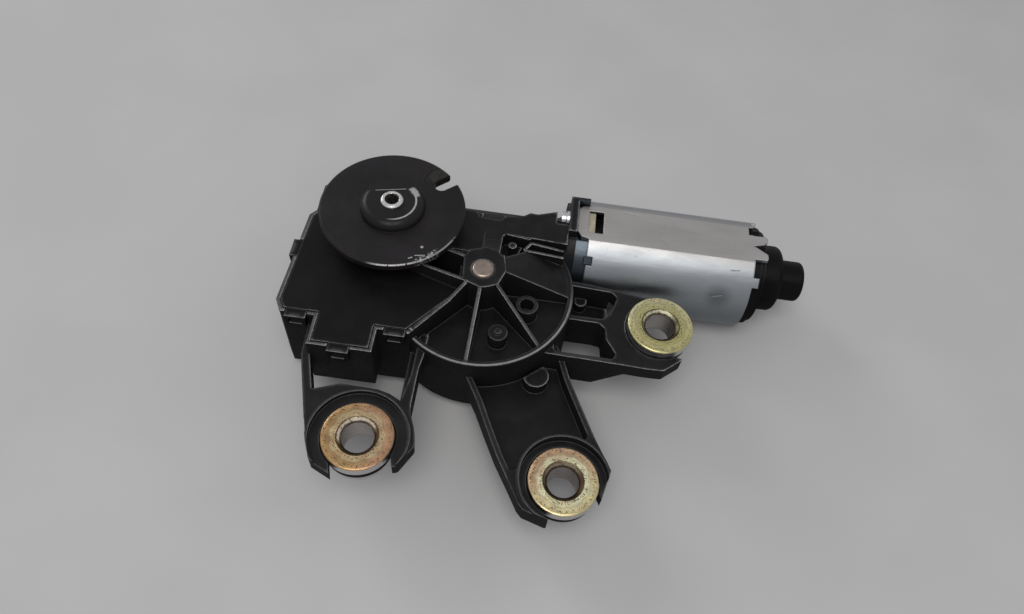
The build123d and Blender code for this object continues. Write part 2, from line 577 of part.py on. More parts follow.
# ---------------------------------------------------------------- worm wheel and worm
def wheel_tooth():
    """One tooth on the side towards the worm, leaning by the worm's lead angle."""
    slope = tan(radians(PRESSURE_ANGLE))
    half_root = TOOTH_WIDTH / 2 + TOOTH_ROOT * slope
    half_tip = TOOTH_WIDTH / 2 - TOOTH_TIP * slope
    root_y = WHEEL_PITCH_RADIUS - TOOTH_ROOT - 0.3
    tip_y = WHEEL_PITCH_RADIUS + TOOTH_TIP
    face = Polygon((-half_root, root_y), (half_root, root_y), (half_tip, tip_y), (-half_tip, tip_y),
                   align=None)
    lean = -(PITCH / (2 * pi)) / WORM_PITCH_RADIUS * WHEEL_FACE
    lower = Pos(-lean / 2, 0, MOTOR_Z - WHEEL_FACE / 2) * face
    return Solid.extrude(lower.faces()[0], Vector(lean, 0, WHEEL_FACE))


def worm_wheel():
    """Moulded wheel: toothed rim, thin web with ribs, and a hub that runs on the axle."""
    z0 = MOTOR_Z - WHEEL_FACE / 2
    z1 = MOTOR_Z + WHEEL_FACE / 2
    root = WHEEL_PITCH_RADIUS - TOOTH_ROOT
    axis = (0, 0)
    wheel = ring(axis, z0, z1, root, root - 2.6)
    wheel += cyl(axis, z0 + 2.6, z1 - 2.6, root - 1)
    wheel += cyl(axis, z0, z1, 6.2)
    for angle in range(0, 360, 45):
        wheel += web(polar(axis, 5, angle), polar(axis, root - 2, angle), z0 + 1, z1 - 1, z1 - 1, 1.2)
    tooth = wheel_tooth()
    step = 360 / WHEEL_TEETH
    wheel = wheel + [Rot(0, 0, step * (i + 0.5)) * tooth for i in range(WHEEL_TEETH)]
    wheel += cyl(polar(axis, CRANK_RADIUS, CRANK_ANGLE), z0, z1, 4.2)
    wheel -= cyl(polar(axis, CRANK_RADIUS, CRANK_ANGLE), z0 - 1, z1 - 2, CRANK_PIN_RADIUS)
    wheel -= cyl(axis, z0 - 1, z1 + 1, AXLE_RADIUS + RUNNING_GAP)
    wheel -= cyl(polar(axis, 14, CRANK_ANGLE + 180), z1 - 2, z1 + 1, 2)
    return Pos(*WHEEL_AXIS) * wheel


def crank_pin():
    """Pin pressed into the wheel."""
    return cyl(CRANK_PIN, ROD_Z[0] - 0.2, MOTOR_Z + WHEEL_FACE / 2 - 2, CRANK_PIN_RADIUS)


def park_magnet():
    """Magnet in the wheel that tells the circuit board where the arm parks."""
    place = polar(WHEEL_AXIS, 14, CRANK_ANGLE + 180)
    top = MOTOR_Z + WHEEL_FACE / 2
    return ring(place, top - 2, top - 0.2, 2, 0.5)


def gear_axle():
    """Steel axle of the wheel; its domed head shows in the hub platform."""
    axle = cyl(WHEEL_AXIS, MOTOR_Z - WHEEL_FACE / 2 - 1.6, HUB_Z + 0.6, AXLE_RADIUS)
    axle = fillet(axle.edges().group_by(Axis.Z)[-1], 0.9)
    groove_z = MOTOR_Z - WHEEL_FACE / 2 - 1.0
    return axle - ring(WHEEL_AXIS, groove_z, groove_z + 0.6, 5, AXLE_RADIUS - 0.4)


def axle_clip():
    """Retaining ring in the axle's groove."""
    groove_z = MOTOR_Z - WHEEL_FACE / 2 - 1.0
    clip = ring(WHEEL_AXIS, groove_z, groove_z + 0.6, 5.2, AXLE_RADIUS - 0.4)
    return clip - block(WHEEL_AXIS[0] + 2, WHEEL_AXIS[0] + 8, WHEEL_AXIS[1] - 1.2,
                        WHEEL_AXIS[1] + 1.2, groove_z - 1, groove_z + 2)


def worm():
    """Single-start worm: a core with a helical thread that faces the wheel at its middle."""
    slope = tan(radians(PRESSURE_ANGLE))
    width = PITCH - TOOTH_WIDTH - 2 * FLANK_PLAY
    half_root = width / 2 + TOOTH_ROOT * slope
    half_tip = width / 2 - TOOTH_TIP * slope
    root = WORM_PITCH_RADIUS - TOOTH_ROOT
    tip = WORM_PITCH_RADIUS + TOOTH_TIP
    path = Helix(PITCH, PITCH * WORM_TURNS, root)
    profile = Plane.XZ * Polygon((root - 0.3, -half_root), (tip, -half_tip), (tip, half_tip),
                                 (root - 0.3, half_root), align=None)
    thread = sweep(profile, path=path, is_frenet=True)
    place = Plane((WHEEL_AXIS[0] - PITCH * WORM_TURNS / 2, MOTOR_Y, MOTOR_Z), x_dir=(0, -1, 0), z_dir=(1, 0, 0))
    thread = place * thread
    core = bar_x(WHEEL_AXIS[0] - 11, WHEEL_AXIS[0] + 13, root)
    return core + thread - bar_x(0, 60, MOTOR_SHAFT_RADIUS)


# ---------------------------------------------------------------- motor
def motor_can():
    """Deep-drawn steel can with a flat on top and one below, and tabs that hold the end cap."""
    flat_z = (MOTOR_Z + CAN_FLAT - CAN_WALL, MOTOR_Z + CAN_FLAT)
    can = motor_section(CAN_RADIUS, CAN_FLAT, *CAN_X) + slab(CAN_TONGUE, *flat_z)
    can -= motor_section(CAN_RADIUS - CAN_WALL, CAN_FLAT - CAN_WALL, CAN_X[0] - 5, CAN_X[1] + 1)
    can -= block(60.9, 65.6, MOTOR_Y - 4, MOTOR_Y + 5, 0, 9)
    can -= on_motor(TAB_ANGLE, 60, 63.1, 2.8, 14, 20)
    for outline in CRIMP_TABS:
        can += slab(outline, *flat_z)
        can += slab(outline, *flat_z).rotate(Axis((0, MOTOR_Y, MOTOR_Z), (1, 0, 0)), 180)
    shell = tube_x(CAN_X[1] - 1, 116.2, CAN_RADIUS, CAN_RADIUS - CAN_WALL)
    for angle in (TAB_ANGLE, -TAB_ANGLE, 180 - TAB_ANGLE, 180 + TAB_ANGLE):
        can += shell & on_motor(angle, CAN_X[1] - 1, 116.2, 3.2, 14, 20)
    return can - block(112.8, 116, 15.6, 18.7, flat_z[0] - 2, 9)


def end_cap():
    """Moulded cap: a plug in the can, a thin flange, a body and a barrel for the rear bearing."""
    plug_end, flange_end, body_end, barrel_end = CAP_X
    flange, body, barrel = CAP_RADII
    inside = CAN_WALL + 0.05
    cap = motor_section(CAN_RADIUS - inside, CAN_FLAT - inside, CAN_X[1] - 4, plug_end)
    cap += bar_x(plug_end - 1, flange_end, flange)
    outer = bar_x(flange_end - 1, body_end, body)
    cap += fillet(outer.edges().group_by(Axis.X)[-1], 1.8)
    outer = bar_x(body_end - 2, barrel_end, barrel)
    cap += fillet(outer.edges().group_by(Axis.X)[-1], 1.4)
    cap -= bar_x(CAN_X[1] - 5, body_end - CAP_WALL - 1, body - CAP_WALL)
    return cap - bar_x(120, barrel_end - CAP_WALL, barrel - CAP_WALL)


def half_magnet(side):
    """One arc magnet."""
    arc = tube_x(72, 104, MAGNET_RADII[1], MAGNET_RADII[0])
    reach = 40 * tan(radians(MAGNET_HALF_ANGLE))
    wedge = Polygon((0, 0), (40 * side, -reach), (40 * side, reach), align=None)
    plane = Plane((60, MOTOR_Y, MOTOR_Z), x_dir=(0, 1, 0), z_dir=(1, 0, 0))
    return arc & extrude(plane * wedge, 60, dir=(1, 0, 0))


def armature_shaft():
    """Motor shaft, which also carries the worm."""
    return chamfer(bar_x(13.2, CAP_X[3] - CAP_WALL - 0.6, MOTOR_SHAFT_RADIUS).edges().filter_by(GeomType.CIRCLE), 0.3)


def lamination_stack():
    """Slotted iron core of ten poles."""
    stack = bar_x(*STACK_X, STACK_RADIUS)
    for i in range(10):
        slot = block(*STACK_X, -0.9, 0.9, 6.5, 13) + block(*STACK_X, -2.0, 2.0, 6.5, 10.2)
        slot = slot.rotate(Axis.X, 36 * i)
        stack -= Pos(0, MOTOR_Y, MOTOR_Z) * slot
    return stack - bar_x(60, 110, MOTOR_SHAFT_RADIUS)


def windings():
    """Copper end turns at both ends of the core."""
    front = tube_x(STACK_X[0] - 3.6, STACK_X[0], 10.0, MOTOR_SHAFT_RADIUS)
    rear = tube_x(STACK_X[1], STACK_X[1] + 4.4, 10.0, MOTOR_SHAFT_RADIUS)
    return [front, rear]


def commutator():
    """Copper commutator with ten bars."""
    drum = tube_x(*COMMUTATOR_X, COMMUTATOR_RADIUS, MOTOR_SHAFT_RADIUS)
    for i in range(10):
        gap = block(COMMUTATOR_X[0], COMMUTATOR_X[1], -0.25, 0.25, 4.6, 7).rotate(Axis.X, 36 * i)
        drum -= Pos(0, MOTOR_Y, MOTOR_Z) * gap
    return drum


def brush_holder():
    """Insulating plate with two brush boxes."""
    plate = motor_section(14.1, 12.7, 61.4, 63.4) - bar_x(50, 70, 7)
    for side in (-1, 1):
        box = block(63.4, 70.4, -3, 3, 6.6, 13.4) - block(64.6, 69.4, -2.05, 2.05, 6, 14)
        plate += Pos(0, MOTOR_Y, MOTOR_Z) * box.rotate(Axis.X, 90 * side)
    return plate


def carbon_brushes():
    """Two brushes that ride on the commutator."""
    brush = block(64.7, 69.3, -2, 2, COMMUTATOR_RADIUS + 0.1, 10)
    return [Pos(0, MOTOR_Y, MOTOR_Z) * brush.rotate(Axis.X, 90 * side) for side in (-1, 1)]


def brush_springs():
    """Springs behind the brushes, as plain sleeves."""
    spring = ring((67, 0), 10, 13.2, 1.6, 1.0)
    return [Pos(0, MOTOR_Y, MOTOR_Z) * spring.rotate(Axis.X, 90 * side) for side in (-1, 1)]


# ---------------------------------------------------------------- mounting sleeves and grommets
def mount_sleeve(centre, top):
    """Steel distance sleeve: an upper flange, a tube and a lower flange."""
    foot = top - SLEEVE_LENGTH
    sleeve = cyl(centre, top - SLEEVE_FLANGE_THICK, top, SLEEVE_FLANGE)
    sleeve = chamfer(sleeve.edges().group_by(Axis.Z)[-1], 0.3)
    sleeve += cyl(centre, foot, top - 1, SLEEVE_TUBE)
    sleeve += cyl(centre, foot, foot + SLEEVE_FOOT_THICK, SLEEVE_FOOT)
    sleeve -= cyl(centre, foot - 1, top + 1, SLEEVE_BORE)
    return chamfer(sleeve.edges().filter_by(GeomType.CIRCLE).group_by(Axis.Z)[-1].sort_by(SortBy.RADIUS)[0],
                   SLEEVE_LEAD_IN)


def rubber_grommet(centre, top):
    """Grommet with a groove for the eye's plate."""
    high = top - SLEEVE_FLANGE_THICK
    low = top - SLEEVE_LENGTH + SLEEVE_FOOT_THICK
    grommet = cyl(centre, top + EYE_TOP, high, GROMMET_RADIUS) + cyl(centre, low, high, GROMMET_NECK)
    grommet += cyl(centre, low, top + EYE_UNDER, GROMMET_RADIUS)
    return grommet - cyl(centre, low - 1, high + 1, SLEEVE_TUBE)


# ---------------------------------------------------------------- electrical parts
def connector_shell():
    """Shrouded socket on the back of the box."""
    x0, x1, z0, z1 = CONNECTOR
    shell = block(x0, x1, *CONNECTOR_Y, z0, z1)
    return shell - block(x0 + 1.4, x1 - 1.4, CONNECTOR_Y[0] + 2, CONNECTOR_Y[1] + 1, z0 + 1.4, z1 - 1.4)


def connector_terminals():
    """Four flat blades in the socket."""
    middle = (CONNECTOR[2] + CONNECTOR[3]) / 2
    first = CONNECTOR[0] + 4.4
    return [block(first + 4.4 * i - 0.8, first + 4.4 * i + 0.8, CONNECTOR_Y[0] + 2, 25, middle - 0.4,
                  middle + 0.4) for i in range(4)]


def circuit_board():
    """Board in the tray, on four posts."""
    plan = offset(flat_shape(LID_OUTLINE), -1.6) - Circle(TOWER_RADIUS + 0.6)
    plan -= Pos(*WHEEL_AXIS) * Circle(CASE_RADIUS + 0.4)
    board = slab(plan, -5, -3.4)
    board = max(board.solids(), key=lambda s: s.volume)
    for place in ((-22, -28), (-20, 8), (-10, -40), (-2, -40)):
        board = board + cyl(place, TRAY_Z, -5, 1.6)
    return board


# ---------------------------------------------------------------- assembly
def build():
    """Every node of the part by name."""
    flange_bearing = tube_x(49, 56, 6.0, MOTOR_SHAFT_RADIUS + RUNNING_GAP)
    worm_end_bush = tube_x(14, 18, 4.6, MOTOR_SHAFT_RADIUS + RUNNING_GAP)
    rear_end = CAP_X[3] - CAP_WALL
    rear_bearing = tube_x(rear_end - 5, rear_end, CAP_RADII[2] - CAP_WALL, MOTOR_SHAFT_RADIUS + RUNNING_GAP)
    nodes = {
        "gear_housing": gear_housing(),
        "top_lid": top_lid(),
        "bottom_cover": bottom_cover(),
        "cover_screws": cover_screws(),
        "flange_screws": flange_screws(),
        "motor_can": motor_can(),
        "motor_end_cap": end_cap(),
        "field_magnets": [half_magnet(-1), half_magnet(1)],
        "brush_holder": brush_holder(),
        "carbon_brushes": carbon_brushes(),
        "brush_springs": brush_springs(),
        "brush_terminal": block(60.9, 63.0, MOTOR_Y - 3.6, MOTOR_Y + 4.6, 3.6, 4.4),
        "flange_bearing": flange_bearing,
        "worm_end_bush": worm_end_bush,
        "rear_bearing": rear_bearing,
        "thrust_button": bar_x(11.4, 13.0, 3.0),
        "circuit_board": circuit_board(),
        "connector_shell": connector_shell(),
        "connector_terminals": connector_terminals(),
        "gear_axle": gear_axle(),
        "axle_clip": axle_clip(),
        "upper_bush": output_bush(1.9, HUB_Z - 1.6),
        "lower_bush": output_bush(TRAY_Z - TRAY_THICK, -2.6),
        "shaft_seal": shaft_seal(),
        "armature_shaft": armature_shaft(),
        "worm": worm(),
        "lamination_stack": lamination_stack(),
        "windings": windings(),
        "commutator": commutator(),
        "worm_wheel": worm_wheel(),
        "crank_pin": crank_pin(),
        "park_magnet": park_magnet(),
        "connecting_rod": connecting_rod(),
        "output_shaft": output_shaft(),
        "rocker_lever": rocker_lever(),
        "rocker_pin": rocker_pin(),
        "coupling_disc": coupling_disc(),
    }
    for side, centre, top in (("left", LEFT_EYE, LEFT_TOP), ("middle", MIDDLE_EYE, MIDDLE_TOP),
                              ("right", RIGHT_EYE, RIGHT_TOP)):
        nodes["mount_sleeve_" + side] = mount_sleeve(centre, top)
        nodes["grommet_" + side] = rubber_grommet(centre, top)
    return nodes


def main():
    os.makedirs("parts", exist_ok=True)
    for name, shape in build().items():
        solids = shape if isinstance(shape, list) else [shape]
        pieces = [solid for item in solids for solid in item.solids()]
        whole = pieces[0] if len(pieces) == 1 else Compound(children=pieces)
        export_step(whole, os.path.join("parts", name + ".step"))
        print(name, len(pieces))


main()
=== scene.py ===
"""Wiper motor: looks, camera and light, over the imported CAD."""

import bpy
from mathutils import Matrix, Vector


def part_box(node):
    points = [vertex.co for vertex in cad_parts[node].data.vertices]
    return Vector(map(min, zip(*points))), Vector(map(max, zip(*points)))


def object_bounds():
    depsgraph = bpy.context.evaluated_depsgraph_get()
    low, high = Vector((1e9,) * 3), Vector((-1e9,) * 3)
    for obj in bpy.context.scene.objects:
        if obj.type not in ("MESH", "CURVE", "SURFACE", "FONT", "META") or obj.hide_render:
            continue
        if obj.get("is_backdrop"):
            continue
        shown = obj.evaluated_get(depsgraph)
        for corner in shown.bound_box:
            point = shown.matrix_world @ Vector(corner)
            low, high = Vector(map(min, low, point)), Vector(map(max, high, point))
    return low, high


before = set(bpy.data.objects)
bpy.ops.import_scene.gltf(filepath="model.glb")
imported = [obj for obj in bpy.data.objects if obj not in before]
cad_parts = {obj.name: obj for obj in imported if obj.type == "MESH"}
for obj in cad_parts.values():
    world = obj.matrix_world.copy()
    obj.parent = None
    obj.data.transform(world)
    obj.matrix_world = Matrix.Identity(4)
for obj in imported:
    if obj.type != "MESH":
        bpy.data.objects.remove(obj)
low_corner, high_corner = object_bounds()

MM = 0.001


def top_middle(name):
    """The middle of a round node's top face, in millimetres."""
    low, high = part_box(name)
    return (low.x + high.x) / 2 / MM, (low.y + high.y) / 2 / MM, high.z / MM


# Places on the part, in millimetres; the output shaft's axis is the origin.
LEFT_SLEEVE = top_middle("mount_sleeve_left")
MIDDLE_SLEEVE = top_middle("mount_sleeve_middle")
RIGHT_SLEEVE = top_middle("mount_sleeve_right")
GEAR_AXIS = top_middle("gear_axle")
CASE_RADIUS = 28.2                  # the round gear case, about the gear's axis
HOLLOW_BOSS = (44.4, -21.6, 2.8)
STUB_BOSS = (36.9, -32.4, 2.8)
COLLAR = (57.3, 63.0)               # the polished stretch of the motor's collar, along x
HUB_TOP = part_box("coupling_disc")[1].z / MM
HUB_RADIUS = 7.6                    # of the hub's flat top
WEB_TOP = HUB_TOP - 3.0             # the flat of the disc around its hub
DISC_RADIUS = 22.2
DENT = (102.1, -4.2, -3.9)          # on the can's front
SLEEVE_BORE = 4.5
SLEEVE_LEAD_IN = 5.75               # outer radius of the bevel at the bore's upper end
SLEEVE_FLANGE = 10.0

# Rings on a sleeve's flange: the radii where each starts, is full, wanes and ends.
OUTER_PITS = (8.2, 8.7, 9.1, 9.4)
INNER_PITS = (5.9, 6.2, 6.7, 7.2)
DARK_LINE_RING = (5.45, 5.6, 5.85, 6.0)

# Towards the front, in plan: the disc's paint wears through most on this side, and the painted
# highlights on the sleeves' lead-ins and on rib tops face it.
WORN_AND_LIT_SIDE = Vector((0.5, -0.87, 0.0))
RIB_LIT_SIDE = (0.4, -0.8, 0.0)

# Colours, as linear RGB.
BLACK = (0.0055, 0.0053, 0.0058)
# Painted highlight: the pale tone painted on rib tops, along the front of the case rim and at the feet
# of walls.
RIB_HIGHLIGHT = (0.6, 0.595, 0.6)
DUST = (0.045, 0.043, 0.041)
POLISHED = (0.05, 0.06, 0.07)
PAINT = (0.0105, 0.0088, 0.0095)
DULLED_PAINT = (0.026, 0.025, 0.021)
CREASE_SHADE = (0.002, 0.002, 0.002)
BARE_STEEL = (0.62, 0.61, 0.6)
# The can's zinc: lit on its top, painted shaded on its shoulder and sides.
ZINC_TOP_LIT = ((0.49, 0.465, 0.44), (0.56, 0.535, 0.515))
ZINC_SHOULDER_SHADED = (0.325, 0.34, 0.355)
ZINC_SIDE_SHADED = ((0.215, 0.24, 0.25), (0.28, 0.305, 0.32))
ZINC_DARK_PATCH = (0.1, 0.11, 0.115)
ZINC_DRAWN = (0.36, 0.36, 0.36)
ZINC_SPOT = (0.28, 0.27, 0.26)
ZINC_SCRATCH = (0.2, 0.2, 0.21)
# Painted highlight on the sleeves' lead-ins.
GLEAM = (1.0, 0.98, 0.82)
DARK_LINE_TONE = (0.05, 0.035, 0.02)
BORE_STEEL = (0.45, 0.41, 0.39)
SLEEVE_STEEL = (0.56, 0.545, 0.54)


# ---------------------------------------------------------------- how a material is made
class Look:
    """A Principled material, textured in the piece's own coordinates so that it moves along."""

    def __init__(self, name, metal=0.0, specular=0.5, ior=1.45):
        self.material = bpy.data.materials.new(name)
        self.material.use_nodes = True
        self.tree = self.material.node_tree
        self.tree.nodes.clear()
        self.shader = self.node("BsdfPrincipled", Metallic=metal, IOR=ior)
        self.shader.inputs["Specular IOR Level"].default_value = specular
        out = self.node("OutputMaterial")
        self.tree.links.new(self.shader.outputs[0], out.inputs[0])
        self.place = self.node("TexCoord").outputs["Object"]
        self.tilt = self.node("NewGeometry").outputs["Normal"]

    def node(self, kind, settings=None, **inputs):
        node = self.tree.nodes.new("ShaderNode" + kind)
        for key, value in (settings or {}).items():
            setattr(node, key, value)
        for key, value in inputs.items():
            self.feed(node.inputs[key], value)
        return node

    def feed(self, socket, value):
        if isinstance(value, bpy.types.NodeSocket):
            self.tree.links.new(value, socket)
        else:
            socket.default_value = value

    # Numbers and masks: a mask is 1 inside a place and 0 outside it.
    def maths(self, operation, first, second=0.0, clamp=False):
        node = self.node("Math", {"operation": operation, "use_clamp": clamp})
        self.feed(node.inputs[0], first)
        self.feed(node.inputs[1], second)
        return node.outputs[0]

    def plus(self, first, second):
        return self.maths("ADD", first, second)

    def minus(self, first, second):
        return self.maths("SUBTRACT", first, second)

    def times(self, *values):
        """The product of values; of masks, the place that all of them share."""
        total = values[0]
        for value in values[1:]:
            total = self.maths("MULTIPLY", total, value)
        return total

    def either(self, *masks):
        total = masks[0]
        for mask in masks[1:]:
            total = self.maths("MAXIMUM", total, mask)
        return total

    def fade(self, value, start, end, low=0.0, high=1.0):
        """A smooth step of a value from start to end; start may be the larger."""
        step = self.node("MapRange", {"interpolation_type": "SMOOTHSTEP"})
        for key, setting in (("Value", value), ("From Min", start), ("From Max", end),
                             ("To Min", low), ("To Max", high)):
            self.feed(step.inputs[key], setting)
        return step.outputs[0]

    def band(self, value, start, full, waning, end):
        """Rises from start to full and falls again from waning to end."""
        return self.times(self.fade(value, start, full), self.fade(value, end, waning))

    # Vectors and places.
    def vector(self, operation, first, second=(0, 0, 0), scale=None):
        node = self.node("VectorMath", {"operation": operation})
        self.feed(node.inputs[0], first)
        self.feed(node.inputs[1], second)
        if scale is not None:
            self.feed(node.inputs["Scale"], scale)
        single = operation in ("LENGTH", "DOT_PRODUCT", "DISTANCE")
        return node.outputs["Value" if single else "Vector"]

    def split(self, vector):
        return self.node("SeparateXYZ", Vector=vector).outputs

    def near(self, point, radius, soft=0.5):
        """Inside a ball."""
        gap = self.vector("DISTANCE", self.place, Vector(point) * MM)
        return self.fade(gap, (radius + soft) * MM, (radius - soft) * MM)

    def from_axis(self, axis_point):
        """Distance from an upright axis, in millimetres."""
        away = self.vector("SUBTRACT", self.place, Vector(axis_point) * MM)
        flat = self.vector("MULTIPLY", away, (1, 1, 0))
        return self.times(self.vector("LENGTH", flat), 1 / MM)

    def line(self, start, end, width):
        """A stroke along a straight line, with soft sides."""
        start, end = Vector(start) * MM, Vector(end) * MM
        along = end - start
        from_start = self.vector("SUBTRACT", self.place, start)
        share = self.maths("DIVIDE", self.vector("DOT_PRODUCT", from_start, along), along.length_squared)
        share = self.maths("ADD", share, 0.0, clamp=True)
        foot = self.vector("SCALE", along, scale=share)
        gap = self.vector("DISTANCE", from_start, foot)
        return self.fade(gap, width * MM, 0.3 * width * MM)

    def path(self, points, width):
        """A stroke from point to point."""
        return self.either(*(self.line(start, end, width) for start, end in zip(points, points[1:])))

    # Noise.
    def noise(self, size, detail=3.0, stretch=(1, 1, 1)):
        """Noise whose features are about size millimetres, longer along a stretched axis."""
        where = self.vector("DIVIDE", self.place, stretch)
        return self.node("TexNoise", Vector=where, Scale=1 / (size * MM), Detail=detail).outputs[0]

    def clouds(self, size, detail, low=0.0, high=1.0, stretch=(1, 1, 1)):
        """Noise that is spread softly from low to high."""
        return self.fade(self.noise(size, detail, stretch), 0.3, 0.7, low, high)

    # The surface's own shape.
    def facing_up(self):
        return self.fade(self.split(self.tilt)[2], 0.6, 0.95)

    def thin(self, reach):
        """How thin the wall is here, or how near an outer edge, within reach millimetres."""
        inside = self.node("AmbientOcclusion", {"samples": 6, "inside": True}, Distance=reach * MM)
        return self.minus(1.0, inside.outputs["AO"])

    def soften(self, edge):
        """Rounds the normal at edges, over edge millimetres."""
        self.rounded = self.node("Bevel", {"samples": 4}, Radius=edge * MM).outputs[0]
        self.flatness = self.vector("DOT_PRODUCT", self.rounded, self.tilt)

    def at_edge(self):
        """Where the rounded normal turns away from the flat one, at ridges and in corners alike."""
        return self.fade(self.flatness, 0.996, 0.93)

    # What reaches the shader.
    def mix(self, factor, first, second):
        node = self.node("Mix", {"data_type": "RGBA"})
        self.feed(node.inputs[0], factor)
        for socket, colour in ((node.inputs[6], first), (node.inputs[7], second)):
            self.feed(socket, colour if isinstance(colour, bpy.types.NodeSocket) else (*colour, 1))
        return node.outputs[2]

    def colour(self, value):
        self.feed(self.shader.inputs["Base Color"], value)

    def rough(self, value):
        self.feed(self.shader.inputs["Roughness"], value)

    def metallic(self, value):
        self.feed(self.shader.inputs["Metallic"], value)

    def relief(self, height, strength, depth):
        """Bumps of depth millimetres over the rounded edges."""
        bump = self.node("Bump", Height=height, Strength=strength, Distance=depth * MM,
                         Normal=self.rounded)
        self.feed(self.shader.inputs["Normal"], bump.outputs[0])


def shade(colour, factor):
    return tuple(channel * factor for channel in colour)


# ---------------------------------------------------------------- the materials
def housing_marks(look):
    """Where the housing's painted rib highlights are fainter, where a painted highlight runs along the
    front of its rim, and the polish on its collar.
    """
    x, y, z = look.split(look.place)
    past_case = look.minus(look.from_axis(GEAR_AXIS), CASE_RADIUS)
    around = look.times(look.band(past_case, -1.7, -1.4, 0.2, 0.5), 0.8)
    fewer_highlights = look.either(look.near(HOLLOW_BOSS, 4.2), look.near(STUB_BOSS, 3.8),
                       look.near(LEFT_SLEEVE, 16.5), look.near(MIDDLE_SLEEVE, 15.5), around)
    rim_highlight = look.times(look.band(past_case, -0.9, -0.7, -0.35, -0.15), look.facing_up(),
                       look.fade(z, 0.2 * MM, 0.4 * MM), look.fade(y, -8 * MM, -28 * MM),
                       look.fade(look.noise(2.0, 5), 0.25, 0.55, 0.6, 1.0))
    start, end = COLLAR
    collar = look.times(look.band(x, start * MM, (start + 0.2) * MM, (end - 0.5) * MM, end * MM),
                        look.fade(y, -6.2 * MM, -5.6 * MM), look.fade(z, -14 * MM, -10 * MM))
    return fewer_highlights, rim_highlight, collar


def moulding(name, tone, highlight_tone, rough, pebble=0.3, dust=0.1, ior=1.3, marks=None):
    """Glass-filled plastic: pebbled, cloudy, and painted paler along its rib tops, edges and fillets, as
    painted highlights.
    """
    look = Look(name, ior=ior)
    look.soften(0.4)
    fewer_highlights, rim_highlight, collar = marks(look) if marks else (0.0, 0.0, 0.0)
    level = look.facing_up()
    bend = look.at_edge()
    thin = look.thin(1.2)

    cloud = look.fade(look.noise(9, 4), 0.35, 0.65)
    fleck = look.fade(look.noise(0.4, 2), 0.62, 0.75)
    settled = look.times(level, look.fade(look.noise(6, 5), 0.45, 0.7), dust)
    fillet = look.times(bend, level, look.fade(thin, 0.25, 0.1))
    base = look.mix(cloud, shade(tone, 0.75), shade(tone, 1.25))
    base = look.mix(look.times(fleck, 0.25), base, shade(tone, 2.4))
    base = look.mix(settled, base, DUST)
    # Painted highlights: every edge is painted a little paler, and the feet of walls get a pale line.
    base = look.mix(look.times(bend, 0.3), base, shade(tone, 4.0))
    base = look.mix(look.times(fillet, 0.7), base, shade(highlight_tone, 0.2))

    # Painted highlight: the tops of thin walls are painted paler, where light would catch them, most of
    # all where they turn down to the front right.
    turned = look.vector("SUBTRACT", look.rounded, look.tilt)
    leaning = look.vector("DOT_PRODUCT", turned, RIB_LIT_SIDE)
    crest = look.times(look.fade(look.flatness, 0.7, 0.82), look.fade(leaning, -0.03, 0.08))
    lit_rib_tops = look.times(look.fade(thin, 0.3, 0.42), crest, level,
                        look.fade(look.noise(1.6, 5), 0.25, 0.55, 0.5, 1.0),
                        look.fade(fewer_highlights, 0, 1, 1.0, 0.3))
    base = look.mix(look.either(lit_rib_tops, look.times(rim_highlight, 0.4)), base, highlight_tone)
    look.colour(look.mix(collar, base, POLISHED))
    look.metallic(collar)

    on_walls = look.fade(level, 0, 1, 0.35, 0.0)
    smooth = look.either(look.times(look.either(lit_rib_tops, bend), 0.15), look.times(collar, 0.3))
    look.rough(look.minus(look.plus(look.clouds(1.1, 5, rough - 0.05, rough + 0.06), on_walls), smooth))
    look.relief(look.noise(pebble, 2), 0.5, 0.012)
    return look.material


def disc_wear(look):
    """Where the disc's paint is gone: along the rim's front, at the hub's edge and in scratches."""
    x, y, z = look.split(look.place)
    radius = look.from_axis((0, 0, 0))
    chips = look.noise(0.8, 6)
    past_rim = look.minus(radius, DISC_RADIUS)
    to_front = look.vector("DOT_PRODUCT", look.place, WORN_AND_LIT_SIDE)
    rim = look.times(look.fade(past_rim, -0.55, -0.35), look.fade(to_front, 16.5 * MM, 19 * MM),
                     look.fade(z, (WEB_TOP - 0.4) * MM, (WEB_TOP - 0.25) * MM),
                     look.fade(chips, 0.3, 0.42), 0.55)
    scuffs = look.times(look.near((13.5, -17.0, WEB_TOP), 3.2, 1.8), look.fade(past_rim, -1.9, -1.0),
                        look.fade(look.noise(0.45, 6, (2.0, 1, 1)), 0.52, 0.57))
    corner = look.either(look.near((5.3, 5.9, HUB_TOP), 1.0, 0.6),
                         look.near((6.1, 4.9, HUB_TOP), 1.0, 0.6),
                         look.near((6.8, 3.8, HUB_TOP - 0.1), 0.8, 0.6))
    worn_corner = look.times(corner, look.fade(chips, 0.34, 0.44))
    past_hub = look.minus(radius, HUB_RADIUS)
    hub_edge = look.times(look.fade(x, -1 * MM, 5 * MM), look.fade(y, 4.4 * MM, 3.6 * MM),
                          look.fade(z, (HUB_TOP - 0.5) * MM, (HUB_TOP - 0.3) * MM),
                          look.band(past_hub, -0.7, -0.5, -0.2, 0.0), look.fade(chips, 0.3, 0.42))
    scratches = look.either(
        look.line((10.0, -17.0, WEB_TOP), (12.2, -16.6, WEB_TOP), 0.22),
        look.line((8.3, -18.3, WEB_TOP), (9.2, -17.8, WEB_TOP), 0.25),
        look.near((11.4, -13.6, WEB_TOP), 0.4, 0.15),
        look.line((-5.6, 3.4, HUB_TOP), (3.2, 5.4, HUB_TOP), 0.22),
    )
    return look.either(rim, scuffs, worn_corner, hub_edge, scratches)


